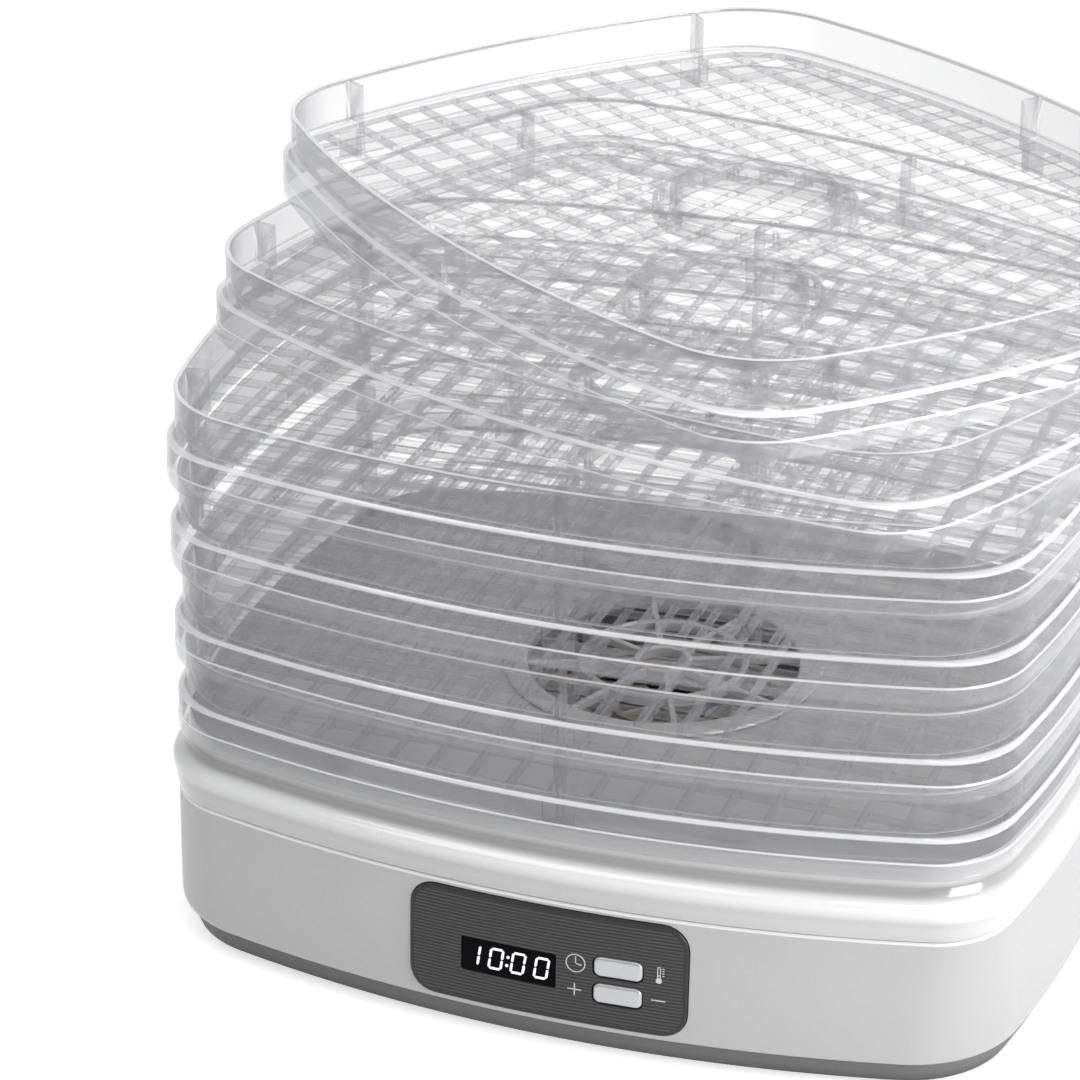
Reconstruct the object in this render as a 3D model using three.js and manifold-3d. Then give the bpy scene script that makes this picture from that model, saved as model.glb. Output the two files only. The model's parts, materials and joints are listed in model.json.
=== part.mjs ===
// Stacking food dehydrator: six clear lift-off trays on a base with a fan, a heater and a control panel.
// Millimetres, +Z up, the control panel faces -Y. The origin is on the floor, in the middle of the bounding box.
import * as THREE from 'three';
import { mergeVertices } from 'three/addons/utils/BufferGeometryUtils.js';
import Module from 'manifold-3d';

const wasm = await Module();
wasm.setup();
const { PI, sin, cos, hypot, atan2, sqrt } = Math;
const radians = THREE.MathUtils.degToRad;

// ---- driving dimensions: the plan outline, a rounded rectangle with bowed sides ----
const HALF_WIDTH = 155; // tray wall, outer face, middle of the short sides
const HALF_DEPTH = 125;
const FRONT_RADIUS = 501;
const SIDE_RADIUS = 425;
const CORNER_RADIUS = 40;
const CORNER_STEPS = 3;
const FRONT_STEPS = 2;
const SIDE_STEPS = 2;
const GAP = 0.3; // between faces that touch

// ---- heights above the floor ----
const FOOT_HEIGHT = 3;
const WALL_BOTTOM = 12.1;
const SEAM = 58.3;
const DECK = 84;
const TRAY_RIMS = [273.1, 238.2, 206.0, 175.5, 140.5, 111.8]; // top tray first

// ---- trays, measured down from the rim ----
const TRAY_HEIGHT = 30.7;
const FLOOR_TOP = 15.5;
const FLOOR_BOTTOM = 18.3;
const TRAY_WALL = 1.7;
const SKIRT_INNER = 0.6; // outwards from the wall's outer face
const SKIRT_OUTER = 2.2;
const SKIRT_CORNER = 31; // squarer than the wall above it
const LEDGE = 5;
const SLAT_PITCH = 34.4;
const SLAT_COUNT = 8;
const BAR_WIDTH = 2.4;
const DUCT_RADIUS = 27;
const COLLAR_RADIUS = 35;
const COLLAR_HEIGHT = 6;
const FIN_REACH = 9;
const FIN_THICK = 2;
const POST_WIDTH = 11;
const POST_BOTTOM = 27.3;
const FRONT_POST_X = 3.3;
const SIDE_POST_Y = 74;
const TRAY_POSES = [ // how the trays lie on the stack: the two top ones are put down askew
  { turn: -38.3, x: 27.5, y: 6.8 }, { turn: -18.2, x: 16.8, y: 8.1 },
  { turn: 0, x: 0, y: 0 }, { turn: 0, x: 0, y: 0 }, { turn: 0, x: 0, y: 0 }, { turn: 0, x: 0, y: 0 },
];

// ---- base ----
const SHELL = 2.2;
const WALL_TOP = { grow: 2.4, corner: 29 };
const WALL_FOOT = { grow: 4.4, corner: 42 };
const PLATE_FLOOR = FOOT_HEIGHT + 2.5;
const SCREW_SPOTS = [[-118, -84], [118, -84], [-118, 84], [118, 84]];
const FOOT_SPOTS = [[-104, -96], [104, -96], [-104, 96], [104, 96]];
const FAN_RADIUS = 44;
const SHROUD_RADIUS = 50;
const OUTLET_RADIUS = 52;

// ---- control panel, on the front wall ----
const PANEL = { width: 97.7, height: 41.5, corner: 9, x: 1.6, z: 35.4 };
const WINDOW = { x: -11.5, z: 32.7, width: 33.4, height: 12.5 };
const KEY = { x: 26.9, width: 16.9, height: 7.4, depth: 6.2, proud: 1.3 };
const KEY_HEIGHTS = { upper: 37.5, lower: 27.5 };
const POWER_BOARD = { low: [66, -28, 9], high: [144, 28, 10.6] };
const BOARD_SEATS = [[73, -22], [73, 22], [137, -22], [137, 22]];
const INTAKE_SLOTS = 10;
const GLAND = { x: 60, z: 30, bore: 3.2, body: 5, flange: 9 };

// ---- solids ----
/** Manifold from loose arrays; the winding is turned round if the volume comes out negative. */
function solidFromArrays(positions, triangles) {
  const make = (list) => new wasm.Manifold(new wasm.Mesh({
    numProp: 3, vertProperties: new Float32Array(positions), triVerts: new Uint32Array(list),
  }));
  const solid = make(triangles);
  if (solid.volume() > 0) return solid;
  return make([...triangles].reverse());
}

/** Manifold from a three.js geometry, with its seams merged and its slivers on the axis dropped. */
function solidFromGeometry(geometry) {
  const plain = geometry.index ? geometry.toNonIndexed() : geometry.clone();
  plain.deleteAttribute('normal');
  plain.deleteAttribute('uv');
  const merged = mergeVertices(plain, 1e-4);
  const index = merged.index.array;
  const kept = [];
  for (let i = 0; i < index.length; i += 3) {
    const [a, b, c] = [index[i], index[i + 1], index[i + 2]];
    if (a !== b && b !== c && c !== a) kept.push(a, b, c);
  }
  return solidFromArrays(merged.attributes.position.array, kept);
}

/** Back to a geometry with flat facets. */
function geometryFromSolid(solid) {
  const mesh = solid.getMesh();
  const geometry = new THREE.BufferGeometry();
  geometry.setAttribute('position', new THREE.BufferAttribute(Float32Array.from(mesh.vertProperties), 3));
  geometry.setIndex(new THREE.BufferAttribute(Uint32Array.from(mesh.triVerts), 1));
  return geometry;
}

const union = (solids) => solids.reduce((whole, next) => whole.add(next));

/** Box given by its lowest and highest corners. */
function box(low, high) {
  const size = high.map((value, axis) => value - low[axis]);
  const geometry = new THREE.BoxGeometry(...size);
  geometry.translate(...low.map((value, axis) => value + size[axis] / 2));
  return solidFromGeometry(geometry);
}

/** Turned solid about Z from [radius, height] pairs: a closed loop, or a line from axis to axis. */
function turned(profile, segments, x = 0, y = 0) {
  const onAxis = profile[0][0] === 0;
  const line = onAxis ? profile : [...profile, profile[0]];
  const geometry = new THREE.LatheGeometry(line.map(([r, z]) => new THREE.Vector2(r, z)), segments);
  geometry.rotateX(PI / 2);
  geometry.translate(x, y, 0);
  return solidFromGeometry(geometry);
}

const cylinder = (radius, z0, z1, segments, x = 0, y = 0) =>
  turned([[0, z0], [radius, z0], [radius, z1], [0, z1]], segments, x, y);
const tube = (inner, outer, z0, z1, segments, x = 0, y = 0) =>
  turned([[inner, z0], [outer, z0], [outer, z1], [inner, z1]], segments, x, y);

/** Rounded rectangle in X and Z, extruded along Y. */
function plaque(width, height, corner, x, z, y0, y1, steps = 4) {
  const shape = new THREE.Shape();
  const [w, h] = [width / 2, height / 2];
  shape.moveTo(-w + corner, -h);
  shape.absarc(w - corner, -h + corner, corner, -PI / 2, 0, false);
  shape.absarc(w - corner, h - corner, corner, 0, PI / 2, false);
  shape.absarc(-w + corner, h - corner, corner, PI / 2, PI, false);
  shape.absarc(-w + corner, -h + corner, corner, PI, 1.5 * PI, false);
  const geometry = new THREE.ExtrudeGeometry(shape, { depth: y1 - y0, bevelEnabled: false, curveSegments: steps });
  geometry.rotateX(PI / 2);
  geometry.translate(x, y1, z);
  return solidFromGeometry(geometry);
}

// ---- the plan outline ----
const arc = (x, y, radius, from, to, steps) => Array.from({ length: steps }, (_, i) => {
  const angle = from + (to - from) * i / steps; // from -Y towards +X
  return [x + radius * sin(angle), y - radius * cos(angle)];
});

/** Outline grown outwards, anticlockwise from the front middle: each corner arc touches both side arcs. */
function outline(grow, corner = CORNER_RADIUS + grow) {
  const front = [0, FRONT_RADIUS - HALF_DEPTH];
  const side = [HALF_WIDTH - SIDE_RADIUS, 0];
  const [frontReach, sideReach] = [FRONT_RADIUS + grow - corner, SIDE_RADIUS + grow - corner];
  const [dx, dy] = [side[0] - front[0], side[1] - front[1]];
  const apart = hypot(dx, dy);
  const along = (frontReach ** 2 - sideReach ** 2 + apart ** 2) / (2 * apart);
  const across = sqrt(frontReach ** 2 - along ** 2);
  const x = front[0] + (dx * along - dy * across) / apart;
  const y = front[1] + (dy * along + dx * across) / apart;
  const frontEnd = atan2(x - front[0], front[1] - y);
  const sideStart = atan2(x - side[0], side[1] - y);
  const quarter = [
    ...arc(...front, FRONT_RADIUS + grow, 0, frontEnd, FRONT_STEPS),
    ...arc(x, y, corner, frontEnd, sideStart, CORNER_STEPS),
    ...arc(...side, SIDE_RADIUS + grow, sideStart, PI / 2, SIDE_STEPS),
    [HALF_WIDTH + grow, 0],
  ];
  const right = [...quarter, ...quarter.slice(0, -1).reverse().map(([px, py]) => [px, -py])];
  return [...right, ...right.slice(1, -1).reverse().map(([px, py]) => [-px, py])];
}

/** Solid through rings of the outline, each [grow, z, corner]; a loop of rings makes a hollow wall. */
function rings(levels, isLoop) {
  const loops = levels.map(([grow, z, corner]) => outline(grow, corner).map(([x, y]) => [x, y, z]));
  const count = loops[0].length;
  const positions = loops.flat(2);
  const triangles = [];
  const bands = isLoop ? levels.length : levels.length - 1;
  for (let k = 0; k < bands; k++) {
    const [low, high] = [k * count, ((k + 1) % levels.length) * count];
    for (let i = 0; i < count; i++) {
      const j = (i + 1) % count;
      triangles.push(low + i, low + j, high + j, low + i, high + j, high + i);
    }
  }
  const top = (levels.length - 1) * count;
  for (let i = 1; i < count - 1 && !isLoop; i++) {
    triangles.push(0, i + 1, i, top, top + i, top + i + 1);
  }
  return solidFromArrays(positions, triangles);
}
const wall = (levels) => rings(levels, true);
const block = (levels) => rings(levels, false);

// ---- trays ----
/** One fin inside the wall and one T-shaped post under the floor, built at the front middle. */
function finAndPost() {
  const face = -HALF_DEPTH + TRAY_WALL / 2;
  const fin = box([-FIN_THICK / 2, face, -FLOOR_BOTTOM], [FIN_THICK / 2, face + FIN_REACH, -0.6]);
  const plateY = face + 2;
  const plate = box([-POST_WIDTH / 2, plateY, -POST_BOTTOM], [POST_WIDTH / 2, plateY + 1.6, -FLOOR_BOTTOM + 1]);
  const web = box([-FIN_THICK / 2, plateY + 1, -POST_BOTTOM], [FIN_THICK / 2, plateY + 7, -FLOOR_BOTTOM + 1]);
  return union([fin, plate, web]);
}

/** The six fins and posts: front and back middle, and near each corner on the short sides. */
function finsAndPosts() {
  const sideX = HALF_WIDTH - SIDE_RADIUS + sqrt(SIDE_RADIUS ** 2 - SIDE_POST_Y ** 2);
  const slant = THREE.MathUtils.radToDeg(Math.asin(SIDE_POST_Y / SIDE_RADIUS));
  const front = finAndPost();
  const frontPost = front.translate([FRONT_POST_X, 0, 0]);
  const placed = [frontPost, frontPost.rotate([0, 0, 180])];
  for (const end of [-1, 1]) {
    for (const side of [-1, 1]) {
      const facing = front.translate([0, HALF_DEPTH, 0]).rotate([0, 0, side * (90 + end * slant)]);
      placed.push(facing.translate([side * sideX, end * SIDE_POST_Y, 0]));
    }
  }
  return union(placed);
}

/** Open floor: slats along Y and one cross bar, trimmed to the ledge and to the central duct. */
function floorBars() {
  const bars = [];
  for (let i = 0; i < SLAT_COUNT; i++) {
    const x = (i - (SLAT_COUNT - 1) / 2) * SLAT_PITCH;
    bars.push(box([x - BAR_WIDTH / 2, -HALF_DEPTH, -FLOOR_BOTTOM], [x + BAR_WIDTH / 2, HALF_DEPTH, -FLOOR_TOP]));
  }
  bars.push(box([-HALF_WIDTH, -BAR_WIDTH / 2, -FLOOR_BOTTOM], [HALF_WIDTH, BAR_WIDTH / 2, -FLOOR_TOP]));
  const inside = block([[-LEDGE + 1, -TRAY_HEIGHT], [-LEDGE + 1, 0]]);
  return union(bars).intersect(inside).subtract(cylinder(DUCT_RADIUS + 2, -TRAY_HEIGHT, 0, 16));
}

function trayGeometry() {
  const innerCorner = SKIRT_CORNER + SKIRT_INNER - SKIRT_OUTER;
  const shell = wall([
    [0, 0], [0, -FLOOR_TOP + 1],
    [SKIRT_OUTER, -FLOOR_TOP - 0.6, SKIRT_CORNER], [SKIRT_OUTER, -TRAY_HEIGHT, SKIRT_CORNER],
    [SKIRT_INNER, -TRAY_HEIGHT, innerCorner], [SKIRT_INNER, -FLOOR_BOTTOM, innerCorner], [-LEDGE, -FLOOR_BOTTOM],
    [-LEDGE, -FLOOR_TOP], [-TRAY_WALL, -FLOOR_TOP], [-TRAY_WALL, 0],
  ]);
  const collar = turned([
    [DUCT_RADIUS, -FLOOR_BOTTOM], [COLLAR_RADIUS, -FLOOR_BOTTOM],
    [COLLAR_RADIUS - 2, -FLOOR_TOP + COLLAR_HEIGHT], [DUCT_RADIUS, -FLOOR_TOP + COLLAR_HEIGHT],
  ], 16);
  return geometryFromSolid(union([shell, floorBars(), collar, finsAndPosts()]));
}

// ---- base shells ----
const wallRing = (level, inset, z) => [level.grow - inset, z, level.corner - inset];

/** The two closed surfaces of the body wall, `proud` outside its outer face, as ring levels. */
const wallLevels = (proud) => [
  wallRing(WALL_FOOT, -proud, WALL_BOTTOM + 1), wallRing(WALL_FOOT, -proud, WALL_BOTTOM + 5),
  wallRing(WALL_TOP, -proud, SEAM),
];

/** A band that follows the body wall, cut out by a plaque-shaped prism on the front. */
function frontPiece(outerProud, innerProud, prism) {
  return block(wallLevels(outerProud)).subtract(block(wallLevels(innerProud))).intersect(prism);
}
const FRONT_Y = [-HALF_DEPTH - 20, -HALF_DEPTH + 25];
const panelPrism = (spare) => plaque(PANEL.width + 2 * spare, PANEL.height + 2 * spare,
  PANEL.corner + spare, PANEL.x, PANEL.z, ...FRONT_Y);
const windowPrism = (spare) => plaque(WINDOW.width + 2 * spare, WINDOW.height + 2 * spare,
  0.8 + spare, WINDOW.x, WINDOW.z, ...FRONT_Y, 2);
const keyPrism = (z, spare) => plaque(KEY.width + 2 * spare, KEY.height + 2 * spare,
  2.4 + spare, KEY.x, z, ...FRONT_Y, 3);

function topShell() {
  const outer = block([
    [2.3, SEAM + GAP, 29], [4.4, SEAM + 9, 32], [4.4, SEAM + 12, 33],
    [1.6, SEAM + 14, 34], [0, SEAM + 17, 36.5], [-0.8, DECK + 1.2, 38.5],
  ]);
  const inner = block([
    [0.1, SEAM - 1, 27], [2.1, SEAM + 8, 30], [2.1, SEAM + 9.5, 31],
    [-3, SEAM + 14, 34], [-3, DECK - SHELL, 36.5],
  ]);
  const recess = block([[-2.1, DECK, 37], [-2.1, DECK + 3, 37]]);
  return outer.subtract(inner).subtract(recess).subtract(cylinder(OUTLET_RADIUS, DECK - 5, DECK + 5, 24));
}

function bodyShell() {
  const shell = wall([
    wallRing(WALL_FOOT, 1.2, WALL_BOTTOM), wallRing(WALL_FOOT, 0.2, WALL_BOTTOM + 1.2),
    wallRing(WALL_FOOT, 0, WALL_BOTTOM + 5), wallRing(WALL_TOP, 0, SEAM), wallRing(WALL_TOP, SHELL, SEAM),
    wallRing(WALL_FOOT, SHELL, WALL_BOTTOM + 5), wallRing(WALL_FOOT, SHELL, WALL_BOTTOM + 2.2),
    wallRing(WALL_FOOT, 12, WALL_BOTTOM + 2.2), wallRing(WALL_FOOT, 12, WALL_BOTTOM),
  ]);
  const lugs = SCREW_SPOTS.map(([x, y]) => boss(x, y));
  const holes = SCREW_SPOTS.map(([x, y]) => cylinder(1.9, WALL_BOTTOM - 1, WALL_BOTTOM + 14.5, 8, x, y));
  const glandHole = cylinder(GLAND.body + 0.5, -20, 20, 16).rotate([90, 0, 0]);
  return union([shell, ...lugs]).subtract(union(holes)).subtract(panelPrism(GAP))
    .subtract(glandHole.translate([GLAND.x, HALF_DEPTH, GLAND.z]));
}

/** Screw boss on an arm that reaches it from the nearest short side. */
function boss(x, y) {
  const reach = Math.sign(x) * (HALF_WIDTH - 12);
  const arm = box([Math.min(x, reach), y - 5, WALL_BOTTOM], [Math.max(x, reach), y + 5, WALL_BOTTOM + 2.2]);
  return union([cylinder(5, WALL_BOTTOM, WALL_BOTTOM + 16, 10, x, y), arm]);
}

function basePlate() {
  const outer = block([
    [-1.6, FOOT_HEIGHT, 37], [-0.4, FOOT_HEIGHT + 1.2, 38], [1.4, WALL_BOTTOM - GAP, 39],
  ]);
  const inner = block([[-4.2, PLATE_FLOOR, 35], [-1.4, WALL_BOTTOM, 36]]);
  const seats = BOARD_SEATS.map(([x, y]) => cylinder(3, PLATE_FLOOR - 1, POWER_BOARD.low[2] - GAP, 6, x, y));
  const lugs = SCREW_SPOTS.map(([x, y]) => cylinder(5.5, PLATE_FLOOR - 1, WALL_BOTTOM - GAP, 10, x, y));
  const slots = [];
  for (let i = 0; i < INTAKE_SLOTS; i++) {
    slots.push(box([15, -2, 0], [42, 2, 10]).rotate([0, 0, 360 / INTAKE_SLOTS * (i + 0.5)]));
  }
  const screwHoles = SCREW_SPOTS.flatMap(([x, y]) =>
    [cylinder(1.9, 0, 20, 8, x, y), cylinder(4.1, 0, FOOT_HEIGHT + 2.3, 8, x, y)]);
  const stemHoles = FOOT_SPOTS.map(([x, y]) => cylinder(3.5, 0, 10, 8, x, y));
  return union([outer.subtract(inner), ...seats, ...lugs]).subtract(union([...slots, ...screwHoles, ...stemHoles]));
}

const foot = () => turned([
  [0, 0], [8.4, 0], [9, 0.8], [9, FOOT_HEIGHT - GAP], [3, FOOT_HEIGHT - GAP], [3, PLATE_FLOOR + 1.5], [0, PLATE_FLOOR + 1.5],
], 12);

const screw = () => turned([
  [0, FOOT_HEIGHT + 0.4], [3.4, FOOT_HEIGHT + 0.4], [3.4, FOOT_HEIGHT + 2], [1.6, FOOT_HEIGHT + 2],
  [1.6, WALL_BOTTOM + 13], [0, WALL_BOTTOM + 13],
], 8);

// ---- air path ----
function outletGrille() {
  const [low, top] = [DECK - 2, DECK + 1.8];
  const hoops = [[8, 10.4], [28, 30.4]].map(([a, b]) => tube(a, b, low, top, 16));
  const flange = turned([
    [48.5, low], [51.3, low], [51.3, DECK + GAP], [57, DECK + GAP], [57, top], [48.5, top],
  ], 24);
  const spokes = Array.from({ length: 8 }, (_, i) => box([9, -1.1, low], [49, 1.1, top]).rotate([0, 0, 45 * i + 22.5]));
  return union([...hoops, flange, ...spokes]);
}

function fanRotor() {
  const [hubLow, hubHigh] = [42, 57];
  const hub = cylinder(11, hubLow, hubHigh, 18);
  const shaft = cylinder(1.5, 20, hubLow + 1, 10);
  const blades = Array.from({ length: 7 }, (_, i) => {
    const blade = box([9, -8.5, -0.8], [FAN_RADIUS, 8.5, 0.8]).rotate([38, 0, 0]);
    return blade.translate([0, 0, (hubLow + hubHigh) / 2]).rotate([0, 0, 360 / 7 * i]);
  });
  return union([hub, shaft, ...blades]);
}

const fanMotor = () => turned([
  [1.9, 16.3], [17, 16.3], [21, 19], [21, 33], [17, 36], [6, 36], [6, 39.5], [1.9, 39.5],
], 20);

function motorBracket() {
  const strap = box([-62, -7, 14], [62, 7, 16]);
  const legs = [-1, 1].map((side) => box([side * 58 - 4, -7, PLATE_FLOOR + GAP], [side * 58 + 4, 7, 15]));
  return union([strap, ...legs]).subtract(cylinder(5, 10, 20, 12));
}

const fanShroud = () => turned([
  [SHROUD_RADIUS - 3, 16.3], [55, 16.3], [55, 18], [SHROUD_RADIUS, 18],
  [SHROUD_RADIUS, 76], [SHROUD_RADIUS - 2, 76], [SHROUD_RADIUS - 2, 18.5], [SHROUD_RADIUS - 3, 18],
], 20);

function heaterFrame() {
  const ring = tube(44, 47, 61, 67, 20);
  const bars = [0, 90].map((angle) => box([-45, -1, 61], [45, 1, 67]).rotate([0, 0, angle + 45]));
  return union([ring, ...bars]);
}

/** Flat spiral of heating wire lying over the frame's bars. */
function heaterCoil() {
  const [turns, inner, outer, height, steps] = [3, 14, 42, 69.2, 44];
  const points = Array.from({ length: steps + 1 }, (_, i) => {
    const angle = 2 * PI * turns * i / steps;
    const radius = inner + (outer - inner) * i / steps;
    return new THREE.Vector3(radius * cos(angle), radius * sin(angle), height);
  });
  const section = new THREE.Shape();
  section.absarc(0, 0, 1.7, 0, 2 * PI);
  const path = new THREE.CatmullRomCurve3(points);
  const options = { extrudePath: path, steps, curveSegments: 3, bevelEnabled: false };
  return solidFromGeometry(new THREE.ExtrudeGeometry(section, options));
}

// ---- electronics ----
/** Where the front wall's outer face is at x, halfway up the panel. */
function wallFaceY(x) {
  const radius = FRONT_RADIUS + (WALL_TOP.grow + WALL_FOOT.grow) / 2;
  return FRONT_RADIUS - HALF_DEPTH - sqrt(radius ** 2 - x ** 2);
}
const BOARD_Y = wallFaceY(0) + 10.4; // front face of the control board

const bezel = () => frontPiece(0.9, -1.5, panelPrism(0))
  .subtract(union([windowPrism(GAP), keyPrism(KEY_HEIGHTS.upper, 0.5), keyPrism(KEY_HEIGHTS.lower, 0.5)]));
const displayWindow = () => frontPiece(0.4, -1.2, windowPrism(0));

/** Rocker key with two dished ends, built about its pivot at the middle of its back. */
function rockerKey() {
  const body = plaque(KEY.width, KEY.height, 2.4, 0, 0, -KEY.depth, 0, 3);
  const pins = cylinder(0.8, -KEY.height / 2 - 1, KEY.height / 2 + 1, 8, 0, -1);
  return body.add(pins);
}

function controlBoard() {
  const holes = [-43, 43].map((x) => cylinder(1.6, -30, 30, 10).rotate([90, 0, 0]).translate([x, BOARD_Y, PANEL.z]));
  return box([-47, BOARD_Y, PANEL.z - 18], [47, BOARD_Y + 1.6, PANEL.z + 18]).subtract(union(holes));
}

const displayModule = () => box([WINDOW.x - 15.8, BOARD_Y - 6.4, WINDOW.z - 5.6], [WINDOW.x + 15.8, BOARD_Y - GAP, WINDOW.z + 5.6]);

function tactSwitch() {
  const button = cylinder(1.7, 3.4, 3.8, 10);
  return box([-3, -3, 0], [3, 3, 3.5]).add(button).rotate([90, 0, 0]);
}

/** Cord bushing through the rear wall: outer flange, neck and inner nut around an open bore. */
const cordGland = () => turned([
  [GLAND.bore, -12], [GLAND.bore + 1.6, -12], [GLAND.body, -3], [GLAND.flange, -2.4], [GLAND.flange, -GAP],
  [GLAND.body, -GAP], [GLAND.body, 4], [8, 4], [8, 7], [GLAND.bore, 7],
], 16);

// ---- materials ----
const finish = (color, roughness, metalness = 0, opacity = 1) => new THREE.MeshStandardMaterial({
  color, roughness, metalness, opacity, transparent: opacity < 1,
});
const clearPlastic = finish(0xe8eaf2, 0.08, 0, 0.35);
const whitePlastic = finish(0xe9e9ea, 0.25);
const silverPlastic = finish(0xc9cacc, 0.38, 0.1);
const darkPlastic = finish(0x5a5b5e, 0.5);
const panelPlastic = finish(0x48494b, 0.45);
const blackGlass = finish(0x08080a, 0.08);
const satinMetal = finish(0xd6d7da, 0.25, 0.8);
const rubber = finish(0x202022, 0.9);
const steel = finish(0xa9abb0, 0.35, 0.9);
const greenBoard = finish(0x1f5a3a, 0.5);
const blackPart = finish(0x18181a, 0.5);
const mica = finish(0xb8a98c, 0.7);

// ---- assembly ----
const assembly = new THREE.Group();

function place(name, shape, material, position = [0, 0, 0], turn = 0) {
  const geometry = shape.isBufferGeometry ? shape : geometryFromSolid(shape);
  const mesh = new THREE.Mesh(geometry, material);
  mesh.name = name;
  mesh.position.set(...position);
  mesh.rotation.z = turn;
  assembly.add(mesh);
}

const tray = trayGeometry();
TRAY_RIMS.forEach((rim, i) => {
  const { turn, x, y } = TRAY_POSES[i];
  place(`tray_${i + 1}`, tray, clearPlastic, [x, y, rim], radians(turn));
});

place('base_top_shell', topShell(), whitePlastic);
place('base_body_shell', bodyShell(), silverPlastic);
place('base_plate', basePlate(), darkPlastic);
FOOT_SPOTS.forEach(([x, y], i) => place(`foot_${i + 1}`, foot(), rubber, [x, y, 0]));
SCREW_SPOTS.forEach(([x, y], i) => place(`base_screw_${i + 1}`, screw(), steel, [x, y, 0]));

place('air_outlet_grille', outletGrille(), whitePlastic);
place('fan_rotor', fanRotor(), blackPart);
place('fan_motor', fanMotor(), steel);
place('motor_bracket', motorBracket(), steel);
place('fan_shroud', fanShroud(), blackPart);
place('heater_frame', heaterFrame(), mica);
place('heater_coil', heaterCoil(), steel);
place('thermostat', cylinder(8, 0, 5, 16), steel, [24, 0, 61.5]);
place('thermal_fuse', cylinder(2, -6, 6, 8).rotate([90, 0, 0]), satinMetal, [-26, 0, 64]);

place('panel_bezel', bezel(), panelPlastic);
place('display_window', displayWindow(), blackGlass);
place('display_module', displayModule(), blackPart);
const keyBack = wallFaceY(KEY.x) - KEY.proud + KEY.depth;
const keyTurn = Math.asin(KEY.x / FRONT_RADIUS);
for (const [name, z] of Object.entries(KEY_HEIGHTS)) {
  place(`rocker_key_${name}`, rockerKey(), satinMetal, [KEY.x, keyBack, z], keyTurn);
}
place('control_board', controlBoard(), greenBoard);
Object.values(KEY_HEIGHTS).forEach((z, row) => [-5.4, 5.4].forEach((dx, column) => {
  place(`key_switch_${row * 2 + column + 1}`, tactSwitch(), blackPart, [KEY.x + dx, BOARD_Y - GAP, z]);
}));
place('power_board', box(POWER_BOARD.low, POWER_BOARD.high), greenBoard);
const boardTop = POWER_BOARD.high[2] + GAP;
place('power_relay', box([76, -20, boardTop], [91, -1, boardTop + 16]), blackPart);
place('mains_capacitor', box([98, -20, boardTop], [116, -10, boardTop + 14]), silverPlastic);
place('terminal_block', box([112, 4, boardTop], [136, 16, boardTop + 12]), darkPlastic);
place('transformer', box([76, 6, boardTop], [102, 26, boardTop + 18]), mica);
const glandTurn = -Math.asin(GLAND.x / FRONT_RADIUS);
place('cord_gland', cordGland().rotate([90, 0, 0]), rubber, [GLAND.x, -wallFaceY(GLAND.x) + 0.9, GLAND.z], glandTurn);

// the origin goes to the middle of the bounding box, on the floor
assembly.updateMatrixWorld(true);
const middle = new THREE.Box3().setFromObject(assembly, true).getCenter(new THREE.Vector3());
assembly.position.set(-middle.x, -middle.y, 0);
const dehydrator = new THREE.Group();
dehydrator.add(assembly);
export default dehydrator;
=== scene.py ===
"""A stacking food dehydrator: six clear trays on a silver base with a fan heater and a control panel.

The frame is in metres, +Z up, with the control panel facing -Y. The shapes below are written in
millimetres from the base's own upright axis, and add_mesh puts them in the frame.
"""
import json
from math import radians

import bpy
import numpy as np
from mathutils import Matrix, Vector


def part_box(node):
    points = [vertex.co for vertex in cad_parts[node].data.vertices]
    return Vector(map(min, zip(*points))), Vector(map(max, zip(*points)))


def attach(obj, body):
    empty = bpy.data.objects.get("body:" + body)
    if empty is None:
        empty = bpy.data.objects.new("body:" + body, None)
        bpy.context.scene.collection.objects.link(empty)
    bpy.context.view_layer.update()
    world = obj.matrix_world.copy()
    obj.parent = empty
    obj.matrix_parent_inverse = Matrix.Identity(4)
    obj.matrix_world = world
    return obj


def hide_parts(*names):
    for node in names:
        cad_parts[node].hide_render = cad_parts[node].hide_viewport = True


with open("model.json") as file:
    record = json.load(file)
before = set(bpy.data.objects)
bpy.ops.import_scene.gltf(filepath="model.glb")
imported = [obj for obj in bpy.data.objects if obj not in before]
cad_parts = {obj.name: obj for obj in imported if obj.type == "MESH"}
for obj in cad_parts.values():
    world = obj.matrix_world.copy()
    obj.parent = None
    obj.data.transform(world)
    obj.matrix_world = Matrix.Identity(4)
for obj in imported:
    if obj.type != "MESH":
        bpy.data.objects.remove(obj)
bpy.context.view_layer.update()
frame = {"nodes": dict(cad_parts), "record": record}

MM = 0.001
plate_low, plate_high = (np.array(corner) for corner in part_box("base_plate"))
BASE_AXIS = (plate_low + plate_high) / 2 * [1, 1, 0]

# ---- plan outline: a rounded rectangle with bowed sides, outer face of a tray wall ----
HALF_WIDTH, HALF_DEPTH = 155.0, 125.0
FRONT_RADIUS, SIDE_RADIUS, CORNER_RADIUS = 501.0, 425.0, 40.0
FRONT_STEPS, CORNER_STEPS, SIDE_STEPS = 20, 14, 14

# ---- heights above the floor ----
WALL_BOTTOM, SEAM, DECK = 12.1, 58.3, 84.0
WALL_FOOT_Z = WALL_BOTTOM + 5
FOOT_PLACES = [(-104, -96), (104, -96), (-104, 96), (104, 96)]

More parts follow.
